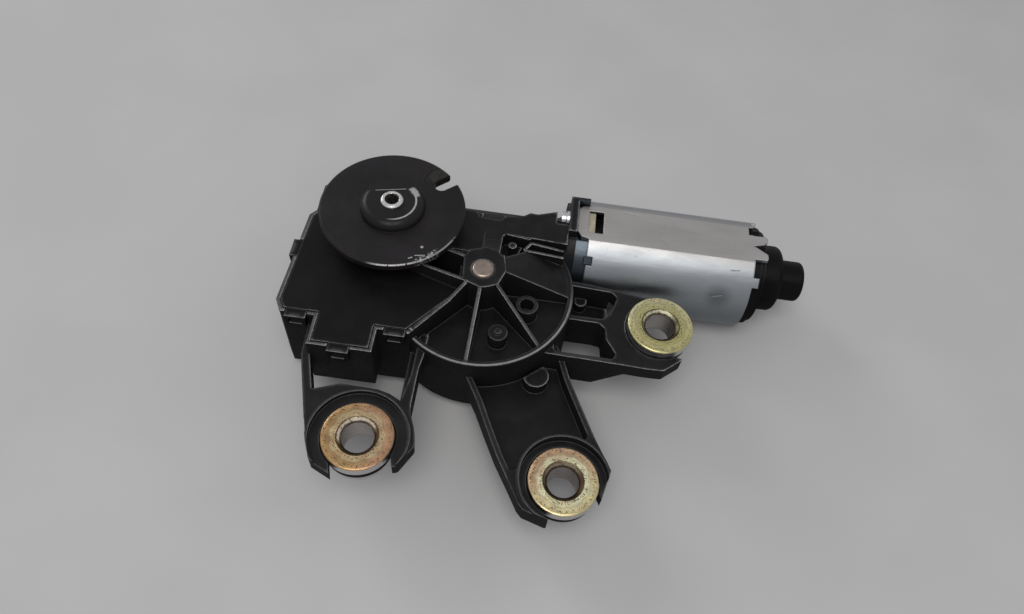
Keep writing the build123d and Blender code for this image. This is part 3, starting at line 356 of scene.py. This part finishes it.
def painted_disc():
    """Black satin paint on pressed steel, worn through on the rim and the hub, and scratched."""
    look = Look("disc_paint", ior=1.3)
    look.soften(0.3)
    bare = disc_wear(look)
    pad = look.times(look.near((12.0, 15.4, WEB_TOP), 3.4, 0.5),
                     look.fade(look.noise(0.7, 4, (1, 2.5, 1)), 0.4, 0.55, 0.35, 1.0))
    # Painted shade: a dark line along the pressed ridge beside the slot; the ridge itself is only
    # embossed, not modelled.
    beside_slot = ((7.4, 11.6), (7.5, 13.7), (8.4, 16.1), (10.4, 18.0), (12.1, 18.9))
    ridge_line = look.path([(x, y, WEB_TOP) for x, y in beside_slot], 0.4)
    base = look.mix(look.clouds(14, 4), shade(PAINT, 0.75), shade(PAINT, 1.35))
    base = look.mix(look.times(pad, 0.7), base, DULLED_PAINT)
    base = look.mix(look.times(ridge_line, 0.8), base, CREASE_SHADE)
    look.colour(look.mix(bare, base, BARE_STEEL))
    look.metallic(bare)
    painted = look.minus(1.0, bare)
    look.rough(look.plus(look.times(painted, look.clouds(2.2, 6, 0.34, 0.44)), look.times(bare, 0.3)))
    height = look.minus(look.times(look.noise(0.5, 3), 0.25), bare)
    look.relief(look.plus(height, look.times(ridge_line, 3.0)), 0.4, 0.04)
    return look.material


def zinc_can():
    """Zinc-plated drawn steel: draw lines along it, clouded plating, painted shade on its sides, a
    darker patch round a dent and a few scratches.
    """
    look = Look("can_zinc", metal=1.0)
    look.soften(0.5)
    upward = look.split(look.tilt)[2]
    cloud = look.clouds(16, 5, stretch=(2.5, 1, 1))
    drawn = look.noise(0.5, 3, (22, 1, 1))
    spots = look.fade(look.noise(1.1, 6), 0.66, 0.74, 0.0, 0.5)
    # A broad darker patch round the dent.
    dark_patch = look.near((104.5, -4.2, -4.0), 3.2, 2.6)
    marks = look.either(
        look.near(DENT, 0.7, 0.5),
        look.line(DENT, (105.4, -3.8, -3.1), 0.45),
        look.line((107.0, 1.6, 3.0), (110.0, 1.8, 3.1), 0.3),
        look.line((72.0, 17.8, 5.0), (76.5, 17.4, 5.0), 0.2),
        look.line((84.0, 9.0, 5.0), (86.5, 7.4, 5.0), 0.16),
        look.line((66.0, -2.6, -2.0), (71.0, -2.9, -2.5), 0.18),
    )
    # Painted shade: the zinc is painted darker where the surface turns from the top down to the sides
    # and underneath.
    base = look.mix(look.fade(upward, 0.98, 0.8), look.mix(cloud, *ZINC_TOP_LIT), ZINC_SHOULDER_SHADED)
    base = look.mix(look.fade(upward, 0.75, -0.1), base, look.mix(cloud, *ZINC_SIDE_SHADED))
    base = look.mix(look.times(dark_patch, 0.6), base, ZINC_DARK_PATCH)
    base = look.mix(look.fade(drawn, 0.55, 0.75, 0.0, 0.3), base, ZINC_DRAWN)
    base = look.mix(spots, base, ZINC_SPOT)
    look.colour(look.mix(look.times(marks, 0.8), base, ZINC_SCRATCH))
    look.rough(look.plus(look.clouds(5, 6, 0.36, 0.48, (3, 1, 1)), look.times(spots, 0.25)))
    height = look.minus(look.times(drawn, 0.12), look.times(marks, 1.5))
    waves = look.times(look.noise(5, 3, (2.5, 1, 1)), 0.9)
    look.relief(look.plus(height, waves), 0.6, 0.13)
    return look.material


def chromate(name, centre, near_hue, far_hue, inner_hue, toward, gleam):
    """Yellow-chromated steel: the hue drifts over the pitted flange, round a darker lead-in with a
    painted highlight on its far side.
    """
    look = Look(name, metal=1.0)
    look.soften(0.55)
    away = look.vector("SUBTRACT", look.place, Vector(centre) * MM)
    radius = look.from_axis(centre)
    wobble = look.plus(radius, look.clouds(2.5, 4, -0.35, 0.35))
    ragged = look.plus(radius, look.clouds(0.5, 4, -0.07, 0.07))

    across = look.vector("DOT_PRODUCT", away, Vector((*toward, 0)).normalized())
    drift = look.plus(look.times(across, 0.06 / MM), look.noise(5, 5))
    ring_place = look.node("CombineXYZ", X=look.times(wobble, 1.1), Y=look.times(drift, 0.8)).outputs[0]
    rings = look.node("TexNoise", Vector=ring_place, Scale=1.0, Detail=3.0).outputs[0]
    inner = look.times(look.fade(wobble, 8.3, 7.0), look.fade(look.noise(2.6, 5), 0.35, 0.6, 0.35, 0.95))
    hue = look.mix(look.fade(drift, 0.1, 0.9), near_hue, far_hue)
    hue = look.mix(look.fade(look.noise(1.3, 6), 0.5, 0.7, 0.0, 0.5), hue, shade(near_hue, 0.5))
    hue = look.mix(look.fade(rings, 0.42, 0.62, 0.0, 0.65), hue, shade(near_hue, 0.4))
    hue = look.mix(inner, hue, inner_hue)

    pitted = look.either(look.band(wobble, *OUTER_PITS), look.band(wobble, *INNER_PITS), 0.12)
    pits = look.times(pitted, look.fade(look.noise(0.42, 3), 0.52, 0.58))
    hue = look.mix(look.times(pits, 0.85), hue, shade(near_hue, 0.12))

    # Painted highlight: the far side of the lead-in, which faces the front, is painted with a pale
    # gleam.
    to_back = look.vector("DOT_PRODUCT", away, -WORN_AND_LIT_SIDE)
    lead_in_glint = look.times(look.fade(to_back, -1 * MM, 2 * MM),
                          look.fade(look.noise(0.9, 5), 0.36, 0.5, 0.3, 1.0), gleam)
    lead_in = look.mix(lead_in_glint, shade(near_hue, 0.22), look.mix(0.6, shade(far_hue, 1.2), GLEAM))
    # Dark lines along the lead-in's outer edge and next to the bore.
    outline = look.either(look.band(ragged, *DARK_LINE_RING),
                          look.times(look.fade(ragged, 5.0, 4.85), look.fade(radius, 4.4, SLEEVE_BORE)))
    hue = look.mix(look.fade(radius, SLEEVE_LEAD_IN, SLEEVE_LEAD_IN - 0.15), hue, lead_in)
    hue = look.mix(look.times(outline, 0.85), hue, DARK_LINE_TONE)

    def below_top(start, end):
        """Below the flange's top, from start to end millimetres."""
        return look.fade(look.split(look.place)[2], (centre[2] - start) * MM, (centre[2] - end) * MM)

    bore = look.times(look.fade(radius, SLEEVE_BORE + 0.2, SLEEVE_BORE + 0.1), below_top(1.2, 1.5))
    side = look.times(look.fade(radius, SLEEVE_FLANGE - 0.25, SLEEVE_FLANGE - 0.1), below_top(0.25, 0.5))
    foot = look.times(look.fade(radius, SLEEVE_BORE + 0.1, SLEEVE_BORE + 0.3), below_top(3.3, 3.8))
    hue = look.mix(bore, hue, BORE_STEEL)
    look.colour(look.mix(look.either(side, foot), hue, SLEEVE_STEEL))
    look.rough(look.clouds(2.4, 6, 0.25, 0.4))
    lathe_marks = look.times(look.maths("SINE", look.times(radius, 20.0)), 0.08)
    height = look.minus(look.plus(lathe_marks, look.noise(0.9, 5)), look.times(pits, 0.8))
    look.relief(height, 0.35, 0.05)
    return look.material


def bare_metal(name, tone, rough):
    """Plain metal with a slight cloud and specks."""
    look = Look(name, metal=1.0)
    look.soften(0.3)
    base = look.mix(look.clouds(3, 5), shade(tone, 0.85), shade(tone, 1.1))
    specks = look.fade(look.noise(0.7, 6), 0.62, 0.74, 0.0, 0.35)
    look.colour(look.mix(specks, base, shade(tone, 0.4)))
    look.rough(look.clouds(1.2, 5, rough - 0.07, rough + 0.09))
    look.relief(look.noise(0.6, 4), 0.3, 0.03)
    return look.material


def dull(name, tone, rough, grain):
    """Rubber, ferrite, board or acetal: a clouded colour with a fine grain."""
    look = Look(name, specular=0.3, ior=1.4)
    look.soften(0.25)
    base = look.mix(look.clouds(4, 5), shade(tone, 0.8), shade(tone, 1.25))
    look.colour(look.mix(look.fade(look.noise(grain, 3), 0.5, 0.75, 0.0, 0.3), base, shade(tone, 1.9)))
    look.rough(look.clouds(2, 5, rough - 0.06, rough + 0.08))
    look.relief(look.noise(grain, 3), 0.5, 0.02)
    return look.material


housing = moulding("housing_plastic", BLACK, RIB_HIGHLIGHT, 0.44, marks=housing_marks)
cover = moulding("lid_plastic", shade(BLACK, 0.7), shade(RIB_HIGHLIGHT, 0.6), 0.46, dust=0.02, ior=1.22)
cap = moulding("cap_plastic", shade(BLACK, 0.5), shade(RIB_HIGHLIGHT, 0.15), 0.45,
               pebble=0.5, dust=0.0, ior=1.22)
inner_plastic = moulding("inner_plastic", (0.02, 0.02, 0.022), RIB_HIGHLIGHT, 0.5)
disc = painted_disc()
can = zinc_can()
left_gold = chromate("sleeve_left_gold", LEFT_SLEEVE,
                     near_hue=(0.62, 0.39, 0.18), far_hue=(0.62, 0.36, 0.22),
                     inner_hue=(0.70, 0.54, 0.32), toward=(1, 0.3), gleam=1.0)
middle_gold = chromate("sleeve_middle_gold", MIDDLE_SLEEVE,
                       near_hue=(0.84, 0.56, 0.34), far_hue=(0.90, 0.78, 0.43),
                       inner_hue=(1.0, 0.95, 0.62), toward=(0.5, -0.9), gleam=0.2)
right_gold = chromate("sleeve_right_gold", RIGHT_SLEEVE,
                      near_hue=(0.90, 0.82, 0.47), far_hue=(0.74, 0.66, 0.31),
                      inner_hue=(0.64, 0.58, 0.25), toward=(0.3, -0.9), gleam=0.8)
steel = bare_metal("screw_steel", (0.66, 0.66, 0.67), 0.26)
pin = bare_metal("axle_steel", (0.37, 0.295, 0.25), 0.36)
shaft = bare_metal("shaft_steel", (0.78, 0.76, 0.74), 0.27)
bronze = bare_metal("bearing_bronze", (0.5, 0.36, 0.2), 0.5)
brass = bare_metal("terminal_brass", (0.66, 0.58, 0.42), 0.34)
copper = bare_metal("winding_copper", (0.7, 0.3, 0.16), 0.35)
core = bare_metal("core_steel", (0.3, 0.3, 0.31), 0.5)
rubber = dull("grommet_rubber", (0.012, 0.012, 0.013), 0.5, 0.4)
ferrite = dull("ferrite", (0.05, 0.05, 0.055), 0.6, 0.3)
board = dull("board", (0.02, 0.10, 0.045), 0.35, 0.6)
acetal = dull("acetal", (0.62, 0.6, 0.52), 0.45, 0.8)

MATERIALS = {
    housing: ["gear_housing", "bottom_cover", "connector_shell"],
    cover: ["top_lid"],
    cap: ["motor_end_cap"],
    inner_plastic: ["brush_holder", "carbon_brushes"],
    disc: ["coupling_disc"],
    can: ["motor_can"],
    steel: ["cover_screws", "flange_screws", "brush_springs", "axle_clip", "connecting_rod",
            "rocker_lever"],
    pin: ["gear_axle", "armature_shaft", "worm", "crank_pin", "rocker_pin"],
    shaft: ["output_shaft"],
    left_gold: ["mount_sleeve_left"],
    middle_gold: ["mount_sleeve_middle"],
    right_gold: ["mount_sleeve_right"],
    rubber: ["grommet_left", "grommet_middle", "grommet_right", "shaft_seal"],
    bronze: ["flange_bearing", "worm_end_bush", "rear_bearing", "upper_bush", "lower_bush"],
    brass: ["brush_terminal", "connector_terminals"],
    copper: ["windings", "commutator"],
    core: ["lamination_stack"],
    ferrite: ["field_magnets", "park_magnet"],
    board: ["circuit_board"],
    acetal: ["worm_wheel", "thrust_button"],
}
for material, names in MATERIALS.items():
    for name in names:
        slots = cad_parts[name].data.materials
        slots.clear()
        slots.append(material)

# ---------------------------------------------------------------- floor
FLOOR_GAP = 0.05 * MM               # keeps the floor off the faces that would lie in its plane
FLOOR_SIZE = 6.0                    # metres
FLOOR_MIDDLE = (0.05, 0.3)
FLOOR_TONES = ((0.445, 0.437, 0.432), (0.47, 0.462, 0.457))
floor_look = Look("floor", specular=0.3)
floor_look.colour(floor_look.mix(floor_look.clouds(60, 3), *FLOOR_TONES))
floor_look.rough(0.75)
bpy.ops.mesh.primitive_plane_add(size=FLOOR_SIZE, location=(*FLOOR_MIDDLE, low_corner.z - FLOOR_GAP))
floor = bpy.context.object
floor.name = "floor"
floor.data.materials.append(floor_look.material)
floor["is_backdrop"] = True

# ---------------------------------------------------------------- camera
# Solved from the outlines of the sleeves, the disc and the can in the photograph.
EYE = (41.20, -157.47, 200.30)      # millimetres
RIGHT = (0.99107, 0.11292, 0.07099)
UP = (-0.13329, 0.81913, 0.55791)
BACK = (0.00485, -0.56238, 0.82686)
SENSOR_WIDTH = 36.0
FOCAL_LENGTH = 28.125
NEAREST, FARTHEST = 0.01, 20        # metres
camera_data = bpy.data.cameras.new("camera")
camera_data.lens = FOCAL_LENGTH
camera_data.sensor_width = SENSOR_WIDTH
camera_data.clip_start = NEAREST
camera_data.clip_end = FARTHEST
camera = bpy.data.objects.new("camera", camera_data)
turn = Matrix((RIGHT, UP, BACK)).transposed().to_4x4()
camera.matrix_world = Matrix.Translation(Vector(EYE) * MM) @ turn
bpy.context.scene.collection.objects.link(camera)
bpy.context.scene.camera = camera

# ---------------------------------------------------------------- light
SKY_TINT = (0.94, 0.96, 1.0, 1)
SKY_STRENGTH = 0.48
AIM = (0.045, -0.025, 0)            # metres, near the middle of the object
world = bpy.data.worlds.new("world")
world.use_nodes = True
bpy.context.scene.world = world
sky = world.node_tree.nodes["Background"]
sky.inputs["Color"].default_value = SKY_TINT
sky.inputs["Strength"].default_value = SKY_STRENGTH


def lamp(name, place, size, power, colour):
    """A round soft lamp, placed in metres and aimed at the object."""
    data = bpy.data.lights.new(name, "AREA")
    data.shape = "DISK"
    data.size = size
    data.energy = power
    data.color = colour
    light = bpy.data.objects.new(name, data)
    light.location = place
    light.rotation_mode = "QUATERNION"
    light.rotation_quaternion = (Vector(AIM) - Vector(place)).to_track_quat("-Z", "Y")
    bpy.context.scene.collection.objects.link(light)


lamp("overhead", (0.02, -0.36, 0.80), size=0.6, power=3.5, colour=(1.0, 0.995, 0.98))
lamp("behind", (-0.75, 0.65, 0.55), size=0.5, power=3.1, colour=(0.96, 0.98, 1.0))

bpy.context.scene.view_settings.view_transform = "Standard"

low_corner, high_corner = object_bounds()
